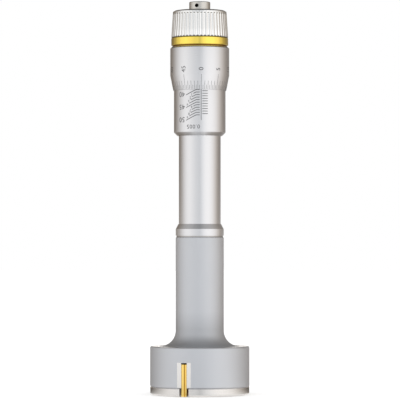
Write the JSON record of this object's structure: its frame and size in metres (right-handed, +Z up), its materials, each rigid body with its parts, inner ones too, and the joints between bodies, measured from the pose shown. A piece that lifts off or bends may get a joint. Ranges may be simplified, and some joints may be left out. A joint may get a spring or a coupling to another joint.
{
  "type": "three-contact inside micrometer",
  "caption": "Upright inside micrometer: a drum head pushes hard contacts outwards as a graduated thimble drives a cone down through a slim barrel; a fluted ratchet knob turns it.",
  "frame": {"origin": "centre of the end cap's flat underside, which the instrument stands on", "axes": "+Z up the instrument's axis to the ratchet button; -Y is the side with the index line"},
  "size_m": [0.0395, 0.0394, 0.1558],
  "materials": {
    "satin_steel": "matt satin chrome over steel",
    "ground_steel": "fine ground",
    "satin_chrome": "satin chrome plate",
    "hardened_steel": "hardened and ground",
    "spring_steel": "drawn spring wire",
    "black_steel": "blackened",
    "bush_bronze": "reamed bearing bronze",
    "yellow_anodising": "yellow anodised",
    "gold_hard_coating": "titanium nitride coated hard metal"
  },
  "bodies": {
    "frame": {"measuring_head": "satin_steel", "end_cap": "ground_steel", "end_cap_screws": "black_steel", "lower_rod_bush": "bush_bronze", "upper_rod_bush": "bush_bronze", "return_spring": "spring_steel", "jaw_return_spring_1": "spring_steel", "jaw_return_spring_2": "spring_steel", "jaw_return_spring_3": "spring_steel", "barrel_tube": "satin_chrome", "collar_nut": "satin_chrome", "graduated_sleeve": "satin_chrome", "spindle_nut": "bush_bronze", "adjusting_nut": "black_steel"},
    "cone_rod": {"measuring_cone": "hardened_steel", "push_rod": "hardened_steel", "thrust_ball": "hardened_steel", "spring_collar": "hardened_steel"},
    "thimble_group": {"spindle": "hardened_steel", "thimble": "satin_chrome", "spacer_washer": "black_steel", "thimble_clamp_nut": "black_steel", "colour_ring": "yellow_anodising", "ratchet_wheel": "hardened_steel", "ratchet_screw": "satin_chrome"},
    "ratchet_knob": {"ratchet_sleeve": "satin_chrome", "click_spring": "spring_steel"},
    "contact_1": {"jaw_1": "hardened_steel", "contact_strip_1": "gold_hard_coating"},
    "contact_2": {"jaw_2": "hardened_steel", "contact_strip_2": "gold_hard_coating"},
    "contact_3": {"jaw_3": "hardened_steel", "contact_strip_3": "gold_hard_coating"}
  },
  "joints": [
    {"name": "cone_travel", "type": "slide", "parent": "frame", "child": "cone_rod", "axis": [0, 0, -1], "range_m": [0, 0.01], "deforming": ["return_spring"]},
    {"name": "thimble_turn", "type": "hinge", "parent": "cone_rod", "child": "thimble_group", "pos_m": [0, 0, 0.13], "axis": [0, 0, -1], "range_deg": [0, 7200]},
    {"name": "ratchet_turn", "type": "hinge", "parent": "thimble_group", "child": "ratchet_knob", "pos_m": [0, 0, 0.147], "axis": [0, 0, -1], "continuous": true},
    {"name": "contact_1_slide", "type": "slide", "parent": "frame", "child": "contact_1", "axis": [-0.3697, -0.9291, 0], "range_m": [0, 0.005], "deforming": ["jaw_return_spring_1"]},
    {"name": "contact_2_slide", "type": "slide", "parent": "frame", "child": "contact_2", "axis": [0.9895, 0.1444, 0], "range_m": [0, 0.005], "deforming": ["jaw_return_spring_2"]},
    {"name": "contact_3_slide", "type": "slide", "parent": "frame", "child": "contact_3", "axis": [-0.6198, 0.7848, 0], "range_m": [0, 0.005], "deforming": ["jaw_return_spring_3"]}
  ],
  "couplings": [
    {"joint": "thimble_turn", "follows": "cone_travel", "rad_per_m": 12566},
    {"joint": "contact_1_slide", "follows": "cone_travel", "ratio": 0.5},
    {"joint": "contact_2_slide", "follows": "cone_travel", "ratio": 0.5},
    {"joint": "contact_3_slide", "follows": "cone_travel", "ratio": 0.5}
  ]
}
